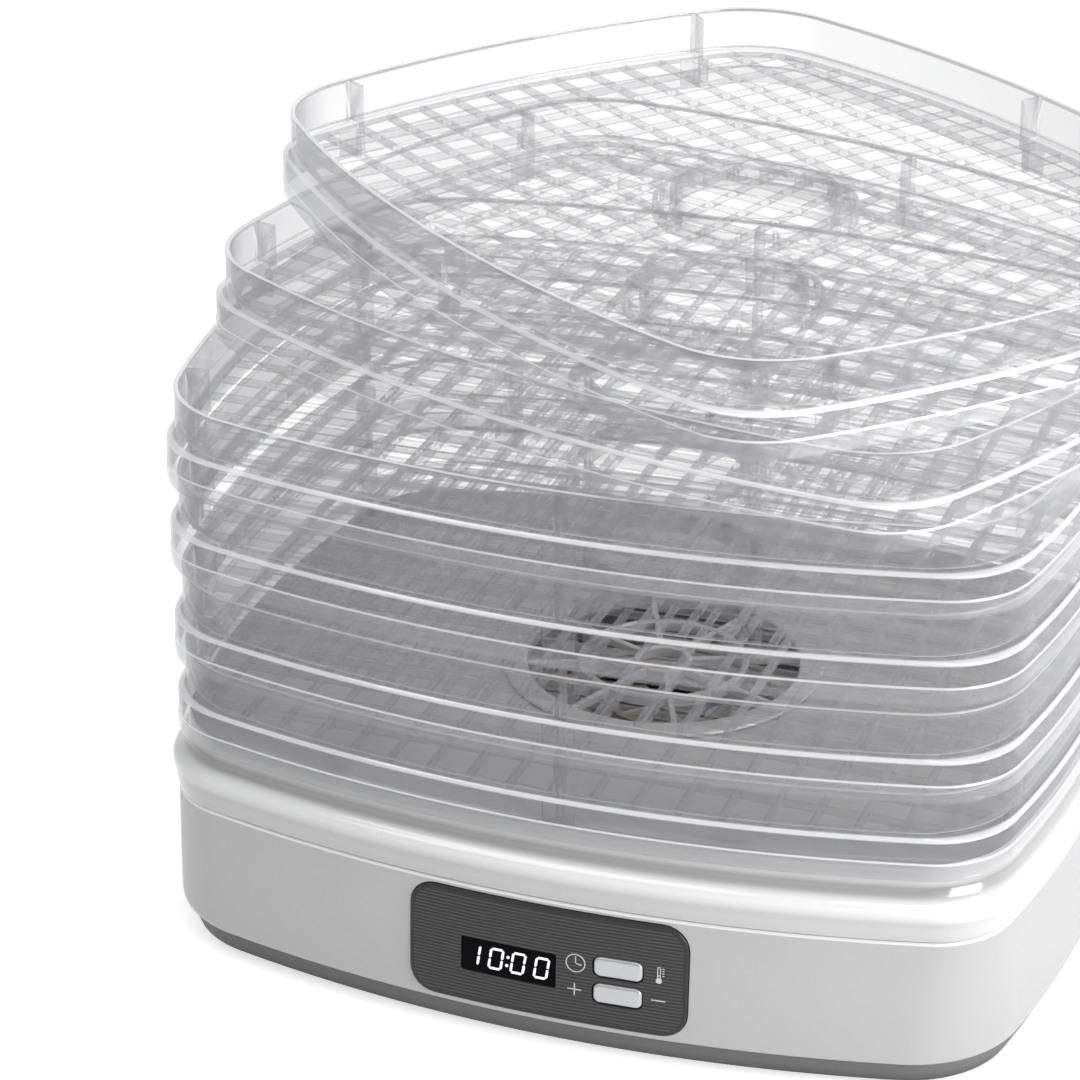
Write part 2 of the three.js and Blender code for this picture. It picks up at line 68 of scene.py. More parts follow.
# ---- tray, measured down from its rim ----
FLOOR_TOP, FLOOR_BOTTOM, POST_BOTTOM = -15.5, -18.3, -27.3
GRID_PITCH, GRID_BAR = 14.4, 2.1
COLLAR_BARS, LIP_DEPTH = 16, 3.0
# Painted highlight on the tray's foot, posts and floor grid, as shares of that on the lips.
FOOT_PAINTED_HIGHLIGHT, POST_PAINTED_HIGHLIGHT, GRID_PAINTED_HIGHLIGHT = 0.28, 0.4, 0.22
LIP_ALPHA, LINE_ALPHA = 0.72, 0.55  # how dense the painted highlight on the lips and the painted grey line below the rim look
FRONT_POST_X, SIDE_POST_Y = 3.3, 74.0
SKIRT_CORNER, SKIRT_INNER_CORNER = 31.0, 29.4  # squarer than the wall above
TRAY_TURNS = {1: -38.3, 2: -18.2}  # the two top trays are put down askew

# ---- control panel ----
PANEL_X, PANEL_Z = 1.6, 35.4
WINDOW_X, WINDOW_Z = -11.5, 32.7
RIB_PITCH, RIB_HALF_WIDTH, RIB_HALF_HEIGHT, RIB_CORNER = 1.25, 39.8, 11.7, 7.4
KEY_X, KEY_HEIGHTS = 26.9, {"upper": 37.5, "lower": 27.5}


# ---- outlines and surfaces ----
def arc(centre, radius, start, end, steps):
    """Points centre + radius (sin a, -cos a) for a from start up to, not including, end."""
    a = start + (end - start) * np.arange(steps) / steps
    return np.stack([centre[0] + radius * np.sin(a), centre[1] - radius * np.cos(a)], -1)


def outline(grow, corner=None):
    """Plan outline grown outwards, anticlockwise from the front middle.

    Front arc about (0, FRONT_RADIUS - HALF_DEPTH), side arc about (HALF_WIDTH - SIDE_RADIUS, 0) and a
    corner arc that touches both, mirrored to the other three quarters.
    """
    corner = CORNER_RADIUS + grow if corner is None else corner
    front = np.array([0.0, FRONT_RADIUS - HALF_DEPTH])
    side = np.array([HALF_WIDTH - SIDE_RADIUS, 0.0])
    front_reach, side_reach = FRONT_RADIUS + grow - corner, SIDE_RADIUS + grow - corner
    apart = side - front
    distance = np.hypot(*apart)
    along = (front_reach ** 2 - side_reach ** 2 + distance ** 2) / (2 * distance)
    across = np.sqrt(front_reach ** 2 - along ** 2)
    centre = front + (apart * along + np.array([-apart[1], apart[0]]) * across) / distance
    front_end = np.arctan2(centre[0] - front[0], front[1] - centre[1])
    side_start = np.arctan2(centre[0] - side[0], side[1] - centre[1])
    quarter = np.concatenate([
        arc(front, FRONT_RADIUS + grow, 0, front_end, FRONT_STEPS),
        arc(centre, corner, front_end, side_start, CORNER_STEPS),
        arc(side, SIDE_RADIUS + grow, side_start, np.pi / 2, SIDE_STEPS),
        [[HALF_WIDTH + grow, 0.0]],
    ])
    right = np.concatenate([quarter, quarter[-2::-1] * [1, -1]])
    return np.concatenate([right, right[-2:0:-1] * [-1, 1]])


def at_height(points, z):
    """Plan points lifted to height z."""
    return np.column_stack([points, np.full(len(points), z)])


def lattice(rings, wraps):
    """Surface through rings of points: quads between neighbouring rings, joined last to first if it wraps."""
    rows, columns = rings.shape[:2]
    i = np.arange(rows if wraps else rows - 1)[:, None]
    j = np.arange(columns)[None, :]
    i_next, j_next = (i + 1) % rows, (j + 1) % columns
    quads = np.stack(np.broadcast_arrays(
        i * columns + j, i * columns + j_next, i_next * columns + j_next, i_next * columns + j), -1)
    return rings.reshape(-1, 3), quads.reshape(-1, 4).tolist()


def loft(rings):
    """Closed solid through rings of points, with a flat cap on the first and the last ring."""
    rings = np.asarray(rings, float)
    points, faces = lattice(rings, wraps=False)
    count = rings.shape[1]
    last = len(points) - count
    return points, faces + [list(range(count))[::-1], list(range(last, last + count))]


def hoop(rings):
    """Closed ring-shaped solid: the last ring of points joins the first."""
    return lattice(np.asarray(rings, float), wraps=True)


def swept(profile):
    """Wall round the outline: profile point (grow, z) or (grow, z, corner) becomes outline(grow) at z."""
    return hoop([at_height(outline(p[0], *p[2:]), p[1]) for p in profile])


def circle(radius, segments):
    """Circle of points about the axis, anticlockwise from the front."""
    return arc((0.0, 0.0), radius, 0, 2 * np.pi, segments)


def turned(profile, segments=64):
    """Ring-shaped solid of revolution from a closed loop of (radius, z), outer side upwards."""
    return hoop([at_height(circle(radius, segments), z) for radius, z in profile])


def turned_solid(profile, segments=48):
    """Solid of revolution from (radius, z) pairs, bottom to top, capped at both ends."""
    return loft([at_height(circle(radius, segments), z) for radius, z in profile])


def bar(start, end, wide, deep, across=(0, 0, 1), chamfer=0.3):
    """Chamfered rectangle, `wide` along `across` and `deep` square to it, carried from start to end."""
    start, end, across = (np.array(v, float) for v in (start, end, across))
    along = (end - start) / np.linalg.norm(end - start)
    other = np.cross(along, across)
    w, d, c = wide / 2, deep / 2, chamfer
    section = np.array([[w, c - d], [w, d - c], [w - c, d], [c - w, d],
                        [-w, d - c], [-w, c - d], [c - w, -d], [w - c, -d]])
    ring = section[:, :1] * across + section[:, 1:] * other
    return loft([start + ring, end + ring])


def rotated(part, degrees, shift=(0, 0, 0)):
    """The part turned about the axis and then shifted."""
    a = radians(degrees)
    turn = np.array([[np.cos(a), -np.sin(a), 0], [np.sin(a), np.cos(a), 0], [0, 0, 1]])
    points, faces = part
    return points @ turn.T + shift, faces


def joined(parts):
    """Several separate parts as one."""
    parts = list(parts)
    starts = np.cumsum([0] + [len(points) for points, _ in parts])
    faces = [[start + corner for corner in face] for start, (_, some) in zip(starts, parts) for face in some]
    return np.concatenate([points for points, _ in parts]), [[int(corner) for corner in f] for f in faces]


# ---- objects ----
def add_mesh(name, part, origin=BASE_AXIS, sharp_from=35):
    """Object from a part in millimetres, smooth but for edges sharper than sharp_from degrees."""
    points, faces = part
    mesh = bpy.data.meshes.new(name)
    mesh.from_pydata((points * MM + origin).tolist(), [], faces)
    piece = bpy.data.objects.new(name, mesh)
    bpy.context.scene.collection.objects.link(piece)
    smooth(mesh, sharp_from)
    return piece


def smooth(mesh, sharp_from=35):
    mesh.shade_smooth()
    mesh.set_sharp_from_angle(angle=radians(sharp_from))


def carve(piece, *steps):
    """Applies (operation, part) steps to the piece in turn, by exact solid union or difference."""
    origin = np.array(piece["origin"]) if "origin" in piece else BASE_AXIS
    tools = []
    for operation, part in steps:
        tool = add_mesh("tool", part, origin)
        cut = piece.modifiers.new("cut", "BOOLEAN")
        cut.operation, cut.solver, cut.object = operation, "MANIFOLD", tool
        tools.append(tool)
    result = bpy.data.meshes.new_from_object(piece.evaluated_get(bpy.context.evaluated_depsgraph_get()))
    piece.modifiers.clear()
    piece.data = result
    smooth(result)
    for tool in tools:
        bpy.data.objects.remove(tool)
    return piece


def finish_piece(piece, body, nodes, material):
    """Body that the piece rides on, CAD nodes it stands for, and material."""
    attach(piece, body)
    if nodes:
        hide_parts(*nodes)
    piece.data.materials.clear()
    piece.data.materials.append(material)


# ---- materials ----
class Shader:
    """A material's nodes, with short ways to add and link them."""

    def __init__(self, name):
        self.material = bpy.data.materials.new(name)
        self.material.use_nodes = True
        self.tree = self.material.node_tree
        self.principled = self.tree.nodes["Principled BSDF"]

    def node(self, kind, **inputs):
        made = self.tree.nodes.new("ShaderNode" + kind)
        for name, value in inputs.items():
            self.feed(made, name.replace("_", " "), value)
        return made

    def feed(self, node, name, value):
        socket = node.inputs[int(name[1:])] if name[0] == "n" and name[1:].isdigit() else node.inputs[name]
        if isinstance(value, bpy.types.NodeSocket):
            self.tree.links.new(value, socket)
        else:
            socket.default_value = value

    def math(self, operation, first, second=0.0):
        made = self.node("Math", n0=first, n1=second)
        made.operation = operation
        return made.outputs[0]

    def object_place(self):
        return self.node("TexCoord").outputs["Object"]

    def noise(self, scale, detail=3.0, place=None):
        place = place or self.object_place()
        return self.node("TexNoise", Vector=place, Scale=scale, Detail=detail).outputs["Fac"]

    def spread(self, value, low, high):
        """0..1 mapped to low..high."""
        return self.node("MapRange", Value=value, To_Min=low, To_Max=high).outputs["Result"]

    def blend(self, first, second, value):
        """From the first colour to the second as value runs from 0 to 1."""
        mix = self.node("Mix")
        mix.data_type = "RGBA"
        sockets = [socket for socket in mix.inputs if socket.type == "RGBA"]
        self.tree.links.new(value, mix.inputs[0])
        sockets[0].default_value = [*first, 1]
        sockets[1].default_value = [*second, 1]
        return [socket for socket in mix.outputs if socket.type == "RGBA"][0]

    def tint(self, colour, value, amount):
        """The colour made darker and lighter by up to `amount` as value runs from 0 to 1."""
        return self.blend([c * (1 - amount) for c in colour], [c * (1 + amount) for c in colour], value)

    def by_height(self, stops):
        """Grey that runs through (height in millimetres, level) stops, lowest first."""
        low, high = stops[0][0], stops[-1][0]
        height = self.node("SeparateXYZ", Vector=self.object_place()).outputs["Z"]
        share = self.node("MapRange", Value=height, From_Min=low * MM, From_Max=high * MM).outputs["Result"]
        ramp = self.node("ValToRGB", Fac=share)
        elements = ramp.color_ramp.elements
        while len(elements) < len(stops):
            elements.new(1.0)
        for element, (level_z, grey) in zip(elements, stops):
            element.position = (level_z - low) / (high - low)
            element.color = (grey, grey, grey, 1)
        return ramp.outputs["Color"]

    def bump(self, height, strength, distance):
        return self.node("Bump", Height=height, Strength=strength, Distance=distance).outputs["Normal"]

    def set(self, **inputs):
        for name, value in inputs.items():
            self.feed(self.principled, name.replace("_", " "), value)
        return self.material


def moulded(name, colour, roughness, grain=900, grain_depth=0.02, mottle=0.04, **sockets):
    """Moulded or painted surface: slow mottling of colour and gloss, with a fine grain in relief."""
    shader = Shader(name)
    slow = shader.noise(22.0, 4.0)
    fine = shader.noise(grain, 2.0)
    return shader.set(
        Base_Color=shader.tint(colour, slow, mottle),
        Roughness=shader.spread(fine, roughness * 0.85, roughness * 1.15),
        Normal=shader.bump(fine, 0.35, grain_depth * MM), **sockets)


def painted_light_moulding(name, stops, roughness, grain=900, grain_depth=0.02, **sockets):
    """Moulded or painted surface with painted light: its grey is set by height through (height, level) stops,
    paler for painted highlights and deeper for painted shade in its hollows.
    """
    shader = Shader(name)
    fine = shader.noise(grain, 2.0)
    return shader.set(
        Base_Color=shader.by_height(stops), Roughness=shader.spread(fine, roughness * 0.85, roughness * 1.15),
        Normal=shader.bump(fine, 0.35, grain_depth * MM), **sockets)


def brushed(name, colour, roughness):
    """Metal with fine lines drawn along X."""
    shader = Shader(name)
    stretched = shader.node("Mapping", Vector=shader.object_place(), Scale=(60.0, 2400.0, 2400.0)).outputs[0]
    lines = shader.noise(1.0, 2.0, stretched)
    return shader.set(
        Base_Color=shader.tint(colour, lines, 0.12), Metallic=0.9,
        Roughness=shader.spread(lines, roughness * 0.8, roughness * 1.3),
        Normal=shader.bump(lines, 0.2, 0.01 * MM))


def clear_plastic():
    """Clear moulded plastic: see-through face on, greyer edge on, with a painted white highlight where the
    edge attribute marks its lips and a painted dark line where it marks the band below the rim.
    """
    shader = Shader("clear_tray_plastic")
    flow = shader.noise(38.0, 0.0)
    glow = shader.node("Attribute")
    glow.attribute_name = "painted_edge_light"
    facing = shader.node("LayerWeight", Blend=0.5).outputs["Facing"]
    edge = shader.spread(shader.math("POWER", facing, 1.9), 0.03, 0.85)
    # Painted highlight: lips whitens the rim, flange, step, foot, posts and grid and makes them denser; line
    # is the painted dark line below the rim.
    lips = shader.math("MAXIMUM", glow.outputs["Fac"], 0.0)
    line = shader.math("MULTIPLY", shader.math("MINIMUM", glow.outputs["Fac"], 0.0), -LINE_ALPHA)
    lit = shader.math("MULTIPLY", lips, LIP_ALPHA)
    tone = shader.math("ADD", shader.math("MULTIPLY", flow, 0.06), shader.math("MULTIPLY", lips, 0.94))
    return shader.set(
        Base_Color=shader.blend((0.22, 0.22, 0.25), (0.95, 0.95, 0.97), tone),
        Roughness=shader.spread(flow, 0.05, 0.1), IOR=1.6, Specular_IOR_Level=0.8, Coat_Weight=0.6,
        Alpha=shader.math("MAXIMUM", shader.math("MAXIMUM", edge, line), lit))


def ribbed_panel():
    """Dark panel with fine, slightly wavy lines across it inside a smooth border."""
    shader = Shader("ribbed_panel_grey")
    place = shader.node("SeparateXYZ", Vector=shader.object_place())
    x, z = place.outputs["X"], place.outputs["Z"]
    wander = shader.math("MULTIPLY", shader.noise(60.0, 1.0), 0.7 * MM)
    phase = shader.math("MULTIPLY", shader.math("ADD", z, wander), 2 * np.pi / (RIB_PITCH * MM))
    lines = shader.math("SINE", phase)

    def beyond(coordinate, middle, half_straight):
        """Distance past the straight part of the panel's side, never below zero."""
        offset = shader.math("ABSOLUTE", shader.math("SUBTRACT", coordinate, middle))
        return shader.math("MAXIMUM", shader.math("SUBTRACT", offset, half_straight * MM), 0.0)
    past_x = beyond(x, float(BASE_AXIS[0]) + PANEL_X * MM, RIB_HALF_WIDTH)
    past_z = beyond(z, PANEL_Z * MM, RIB_HALF_HEIGHT)
    squares = [shader.math("MULTIPLY", past, past) for past in (past_x, past_z)]
    inside = shader.math("LESS_THAN", shader.math("SQRT", shader.math("ADD", *squares)), RIB_CORNER * MM)
    ribs = shader.math("MULTIPLY", lines, inside)
    shade = shader.math("ADD", shader.math("MULTIPLY", ribs, 0.5), 0.5)
    lit = shader.math("MULTIPLY", shade, inside)
    return shader.set(
        Base_Color=shader.blend((0.026, 0.026, 0.027), (0.07, 0.07, 0.072), lit),
        Roughness=shader.spread(shade, 0.45, 0.32), Specular_IOR_Level=0.3,
        Normal=shader.bump(ribs, 0.5, 0.15 * MM))


CLEAR = clear_plastic()
# Painted highlight along the top shell's crest, about 68 to 73 mm, and painted shade in the hollow under the
# tray skirts, about 74.5 to 79 mm.
GLOSS_WHITE = painted_light_moulding(
    "gloss_white_plastic",
    [(58.3, 0.56), (63, 0.6), (66, 0.56), (68, 0.75), (71, 0.85), (73, 0.7), (74.5, 0.42), (77.2, 0.3),
     (79, 0.55), (84, 0.58)],
    0.14, grain=300, grain_depth=0.006, Coat_Weight=0.6, Coat_Roughness=0.05)
# Painted highlight: a pale band on the body wall's top edge just below the seam. The grey is a little lighter
# at the rounded foot.
SATIN_SILVER = painted_light_moulding(
    "satin_silver_plastic", [(12, 0.5), (14.5, 0.46), (40, 0.47), (57.2, 0.465), (57.5, 0.82), (58.3, 0.82)],
    0.34, grain=2600, grain_depth=0.012, Metallic=0.25)
# Painted shade: the base plate's grey darkens towards the floor.
DARK_GREY = painted_light_moulding("dark_grey_plastic", [(3, 0.05), (4.6, 0.09), (7, 0.13), (11.8, 0.15)], 0.5)
BLACK = moulded("black_moulded_plastic", (0.02, 0.02, 0.022), 0.45)
RUBBER = moulded("foot_rubber", (0.025, 0.025, 0.026), 0.8, grain_depth=0.06)
GLASS_BLACK = moulded(
    "display_black", (0.003, 0.003, 0.004), 0.12, grain=150, grain_depth=0.004, Specular_IOR_Level=0.03)
KEY_SILVER = moulded("satin_key_silver", (0.5, 0.505, 0.52), 0.3, grain=2200, grain_depth=0.01, Metallic=0.5)
GLYPH_WHITE = moulded(
    "lit_digit_white", (0.9, 0.92, 0.95), 0.5, Emission_Color=(0.9, 0.95, 1, 1), Emission_Strength=0.45)
ICON_GREY = moulded("printed_icon_grey", (0.62, 0.62, 0.63), 0.5)
STEEL = brushed("plain_steel", (0.55, 0.56, 0.58), 0.3)
WIRE = brushed("heating_wire_oxide", (0.33, 0.27, 0.22), 0.45)
MICA = moulded("mica_board", (0.45, 0.38, 0.27), 0.65, grain=500, grain_depth=0.05, mottle=0.15)
BOARD_GREEN = moulded("solder_mask_green", (0.03, 0.15, 0.08), 0.35, mottle=0.12)


# ---- trays ----
def tray_shell():
    """Tray wall, floor ledge and skirt as one profile round the outline."""
    wide, narrow = SKIRT_CORNER, SKIRT_INNER_CORNER
    skirt = [(2.0, -30.3, wide), (2.0, -25.1, wide), (1.95, -24.7, wide), (1.8, -24.3, wide),
             (1.7, -23.9, wide), (1.7, -17.2, wide), (1.6, -16.6, wide), (1.3, -16.1, 32.5), (0.7, -15.7, 36),
             (0.15, -15.1, 39)]
    wall = [(0.0, -14.3), (0.0, -1.6), (0.0, -1.3), (0.0, -0.6), (-0.15, -0.18), (-0.5, 0.0), (-1.2, 0.0),
            (-1.55, -0.18), (-1.7, -0.6), (-1.7, -1.3), (-1.7, -1.6), (-1.7, -14.9)]
    ledge = [(-1.85, -15.35), (-2.3, -15.5), (-4.6, -15.5), (-5.0, -15.8), (-5.0, -17.9), (-4.6, -18.3)]
    inside = [(0.2, -18.3, narrow), (0.5, -18.45, narrow), (0.6, -18.9, narrow), (0.6, -30.3, narrow),
              (0.85, -30.7, narrow), (1.8, -30.7, wide)]
    return swept(skirt + wall + ledge + inside)


def grid_bars(along_x):
    """Parallel floor bars at GRID_PITCH, each ending inside the ledge."""
    edge = outline(-3.2)
    across_axis, along_axis = (1, 0) if along_x else (0, 1)
    half = edge[edge[:, along_axis] >= 0]
    half = half[np.argsort(half[:, across_axis])]
    limit = (HALF_DEPTH if along_x else HALF_WIDTH) - 11
    count = int(limit // GRID_PITCH)
    middle = (FLOOR_TOP + FLOOR_BOTTOM) / 2 + (0.06 if along_x else -0.06)
    bars = []
    for offset in np.arange(-count, count + 1) * GRID_PITCH:
        reach = np.interp(offset, half[:, across_axis], half[:, along_axis])
        ends = [(end, offset, middle) if along_x else (offset, end, middle) for end in (-reach, reach)]
        bars.append(bar(*ends, 2.5, GRID_BAR))
    return joined(bars)


def collar():
    """Two rings round the central air duct, tied by short radial bars."""
    inner = turned([(29, -18.2), (28.8, -9.9), (28.4, -9.6), (27.6, -9.6), (27.2, -9.9), (27, -18.2)])
    outer = turned([(35, -18.25), (34.6, -13.3), (34.2, -13), (33.4, -13), (33, -13.4), (33, -18.25)])
    ties = [rotated(bar((0, -28.4, -15.6), (0, -33.6, -15.6), 4.6, 1.5), 360 / COLLAR_BARS * i)
            for i in range(COLLAR_BARS)]
    return inner, outer, joined(ties)


def fin_and_post():
    """Fin inside the wall and T-shaped post below the floor, at the front middle."""
    face = -HALF_DEPTH + 0.85
    fin = bar((0, face + 4.4, FLOOR_BOTTOM + 0.2), (0, face + 4.4, -0.6), 2, 8.9, across=(1, 0, 0))
    plate = bar((0, face + 2.8, POST_BOTTOM), (0, face + 2.8, FLOOR_BOTTOM + 0.5), 11, 1.6, across=(1, 0, 0))
    web = bar((0, face + 5, POST_BOTTOM + 0.1), (0, face + 5, FLOOR_BOTTOM + 0.4), 2, 4.2, across=(1, 0, 0))
    return fin, plate, web


def everywhere(part):
    """Six copies: front and back middle, and near each corner on the short sides."""
    side_x = HALF_WIDTH - SIDE_RADIUS + np.sqrt(SIDE_RADIUS ** 2 - SIDE_POST_Y ** 2)
    slant = np.degrees(np.arcsin(SIDE_POST_Y / SIDE_RADIUS))
    at_front = rotated(part, 0, (FRONT_POST_X, 0, 0))
    placed = [at_front, rotated(at_front, 180)]
    at_origin = rotated(part, 0, (0, HALF_DEPTH, 0))
    for end in (-1, 1):
        for side in (-1, 1):
            turn = side * (90 + end * slant)
            placed.append(rotated(at_origin, turn, (side * side_x, end * SIDE_POST_Y, 0)))
    return joined(placed)


def tray_mesh():
    """One whole tray about its own axis, rim at zero."""
    tray = add_mesh("tray_pattern", tray_shell(), np.zeros(3))
    tray["origin"] = [0.0, 0.0, 0.0]
    inner, outer, ties = collar()
    fin, plate, web = (everywhere(part) for part in fin_and_post())
    hole = turned_solid([(31, FLOOR_BOTTOM - 2), (31, FLOOR_TOP + 2)])
    additions = [("UNION", part) for part in (outer, inner, ties, fin, plate, web)]
    carve(tray, ("UNION", grid_bars(True)), ("UNION", grid_bars(False)), ("DIFFERENCE", hole), *additions)
    mesh = tray.data
    bpy.data.objects.remove(tray)
    mark_lips(mesh, joined([fin, plate, web])[0])
    return mesh


def mark_lips(mesh, post_corners):
    """Writes the edge attribute: 1, a painted highlight, where clear plastic gathers light; less on posts,
    foot and grid; and -1, a painted dark line, below the rim.

    A corner counts as near the wall where its distance from the axis passes that of outline(-LIP_DEPTH)
    at the same angle, and as a post's where it is one of post_corners.
    """
    points = np.empty(len(mesh.vertices) * 3, np.float32)
    mesh.vertices.foreach_get("co", points)
    x, y, z = points.reshape(-1, 3).T / MM
    angle = np.arctan2(y, x)
    edge = outline(-LIP_DEPTH)
    order = np.argsort(np.arctan2(edge[:, 1], edge[:, 0]))
    edge_angle = np.arctan2(edge[:, 1], edge[:, 0])[order]
    near_wall = np.hypot(x, y) > np.interp(angle, edge_angle, np.hypot(*edge.T)[order], period=2 * np.pi)
    gaps = np.stack([x, y, z], -1)[:, None, :] - post_corners[None]
    posts = np.min(np.abs(gaps).max(axis=2), axis=1) < 0.01
    rim, step, foot = z > -0.3, (z < -24.2) & (z > -24.8), z < -25
    flange = (z < -15.3) & (z > -16.8) & near_wall
    below_rim = (z > -1.45) & (z < -0.55) & ~posts
    grid = (z > FLOOR_BOTTOM - 0.1) & (z < FLOOR_TOP + 0.1) & ~near_wall
    places = [rim | flange | step, below_rim, foot, posts, grid]
    strength = np.select(places, [1.0, -1.0, FOOT_PAINTED_HIGHLIGHT, POST_PAINTED_HIGHLIGHT, GRID_PAINTED_HIGHLIGHT], 0.0)
    glow = mesh.attributes.new("painted_edge_light", "FLOAT", "POINT")
    glow.data.foreach_set("value", strength.astype(np.float32))


def build_trays():
    pattern = tray_mesh()
    for number in range(1, 7):
        node = f"tray_{number}"
        low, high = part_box(node)
        place = Matrix.Translation(((low.x + high.x) / 2, (low.y + high.y) / 2, high.z))
        mesh = pattern.copy()
        mesh.transform(place @ Matrix.Rotation(radians(TRAY_TURNS.get(number, 0)), 4, "Z"))
        tray = bpy.data.objects.new(f"clear_tray_{number}", mesh)
        bpy.context.scene.collection.objects.link(tray)
        finish_piece(tray, node, [node], CLEAR)


# ---- base ----
WALL_FOOT_GROW, WALL_TOP_GROW, WALL_FOOT_CORNER, WALL_TOP_CORNER = 4.4, 2.4, 42.0, 29.0


def wall_level(z, inset=0.0):
    """Outline of the body wall's outer face at height z, as (grow, z, corner)."""
    share = np.clip((z - WALL_FOOT_Z) / (SEAM - WALL_FOOT_Z), 0, 1)
    grow = WALL_FOOT_GROW + (WALL_TOP_GROW - WALL_FOOT_GROW) * share - inset
    corner = WALL_FOOT_CORNER + (WALL_TOP_CORNER - WALL_FOOT_CORNER) * share - inset
    return grow, z, corner


def wall_y(x, z):
    """Y of the front wall's outer face: an arc of radius FRONT_RADIUS + grow(z)."""
    share = np.clip((z - WALL_FOOT_Z) / (SEAM - WALL_FOOT_Z), 0, 1)
    radius = FRONT_RADIUS + WALL_FOOT_GROW + (WALL_TOP_GROW - WALL_FOOT_GROW) * share
    return FRONT_RADIUS - HALF_DEPTH - np.sqrt(radius ** 2 - x ** 2)


def rounded_rectangle(width, height, corner, inset=0.0):
    """Anticlockwise contour in X and Z seen from the front, with points along its straight sides."""
    w, h, c = width / 2 - inset, height / 2 - inset, max(corner - inset, 0.05)
    turn = np.linspace(0, np.pi / 2, 7)
    points = []
    for sx, sz, start in ((1, 1, 0), (-1, 1, 1), (-1, -1, 2), (1, -1, 3)):
        a = turn + start * np.pi / 2
        points.append(np.stack([sx * (w - c) + c * np.cos(a), sz * (h - c) + c * np.sin(a)], -1))
    pieces = []
    for rounded, following in zip(points, points[1:] + points[:1]):
        along = np.linspace(0, 1, 13)[1:-1, None]
        pieces += [rounded, rounded[-1] + (following[0] - rounded[-1]) * along]
    return np.concatenate(pieces)


def plaque(width, height, corner, x, z, proud, back, edge=0.4, dish=0.0):
    """Rounded-rectangle solid that follows the front wall, its face `proud` of it, with rounded edges."""
    def ring(inset, lift, scale=1.0):
        flat = rounded_rectangle(width, height, corner, inset) * scale
        px, pz = flat[:, 0] + x, flat[:, 1] + z
        hollow = dish * (1 - np.clip(np.abs(flat[:, 0]) / (width / 2), 0, 1) ** 2)
        return np.column_stack([px, wall_y(px, pz) - lift + hollow, pz])
    turn = np.linspace(np.pi / 2, 0, 5)
    rounding = zip(edge * (1 - np.sin(turn)), proud - edge * (1 - np.cos(turn)))
    rings = [ring(edge, -back, s) for s in (0.03, 0.35, 0.7)] + [ring(0, -back)]
    rings += [ring(inset, lift) for inset, lift in rounding]
    rings += [ring(edge, proud, s) for s in (0.93, 0.8, 0.6, 0.4, 0.2, 0.03)]
    return loft(rings)


def on_wall(polygon, proud, back=0.3):
    """Small printed shape: an anticlockwise polygon in X and Z, laid on the front wall's curve."""
    polygon = np.asarray(polygon, float)
    levels = [np.column_stack([polygon[:, 0], wall_y(polygon[:, 0], polygon[:, 1]) - lift, polygon[:, 1]])
              for lift in (-back, proud)]
    return loft(levels)


def build_body_shell():
    inset_by_height = [(1.3, 12.1), (0.75, 12.3), (0.35, 12.8), (0.1, 13.6), (0.0, 14.8)]
    outer = [wall_level(z, inset) for inset, z in inset_by_height]
    outer += [wall_level(z) for z in (30, 40, 50, 57.7)] + [wall_level(SEAM, 0.5)]
    inner = [wall_level(SEAM, 2.2), wall_level(40, 2.2), wall_level(20, 2.4), wall_level(14.4, 4.4),
             wall_level(14.3, 12), wall_level(12.1, 12)]
    body = add_mesh("silver_body_shell", swept(outer + inner))
    opening = plaque(98.3, 42.1, 9.3, PANEL_X, PANEL_Z, 12, 12, edge=0.05)
    gland = turned_solid([(5.5, -12), (5.5, 12)])
    turn = np.array([[1, 0, 0], [0, 0, -1], [0, 1, 0]])
    gland_y = -wall_y(60, 30)
    carve(body, ("DIFFERENCE", opening), ("DIFFERENCE", (gland[0] @ turn.T + [60, gland_y, 30], gland[1])))
    finish_piece(body, "base", ["base_body_shell"], SATIN_SILVER)


def build_top_shell():
    """Crest above the seam, hollow shoulder, lip bead, and a deck that blends to the round outlet."""
    outer = [(1.7, 58.6, 28.6), (2.1, 58.65, 28.8), (2.45, 58.9, 29), (2.75, 60.0, 29.3),
             (3.2, 62.5, 30), (3.7, 65.2, 31), (4.15, 67.6, 32), (4.4, 69.2, 32.5), (4.4, 70.4, 32.8),
             (4.05, 71.3, 33), (3.4, 71.9, 33.3), (2.5, 72.4, 33.8), (1.6, 73.1, 34.6), (0.8, 74.2, 35.5),
             (0.2, 75.8, 36.5), (-0.2, 78, 37.4), (-0.5, 80.5, 38), (-0.7, 83.9, 38.4), (-0.85, 84.8, 38.3),
             (-1.2, 85.2, 38.1), (-1.6, 85.0, 37.9), (-2.0, 84.4, 37.5), (-2.6, 84.0, 37)]
    inner = [(-3, 81.8, 36.5), (-3, 72.5, 34), (1.5, 67.6, 31), (1.6, 65.0, 30), (0.1, 58.6, 27)]
    rings = [at_height(outline(grow, corner), z) for grow, z, corner in outer]
    for z, shares in ((DECK, (0.3, 0.6, 0.85, 1.0)), (DECK - 2.2, (1.0, 0.6))):
        edge = outline(-3.4, 36.5)
        round_hole = edge / np.hypot(*edge.T)[:, None] * 52
        rings += [at_height(edge * (1 - s) + round_hole * s, z) for s in shares]
    rings += [at_height(outline(grow, corner), z) for grow, z, corner in inner]
    shell = add_mesh("white_top_shell", hoop(rings))
    finish_piece(shell, "base", ["base_top_shell"], GLOSS_WHITE)


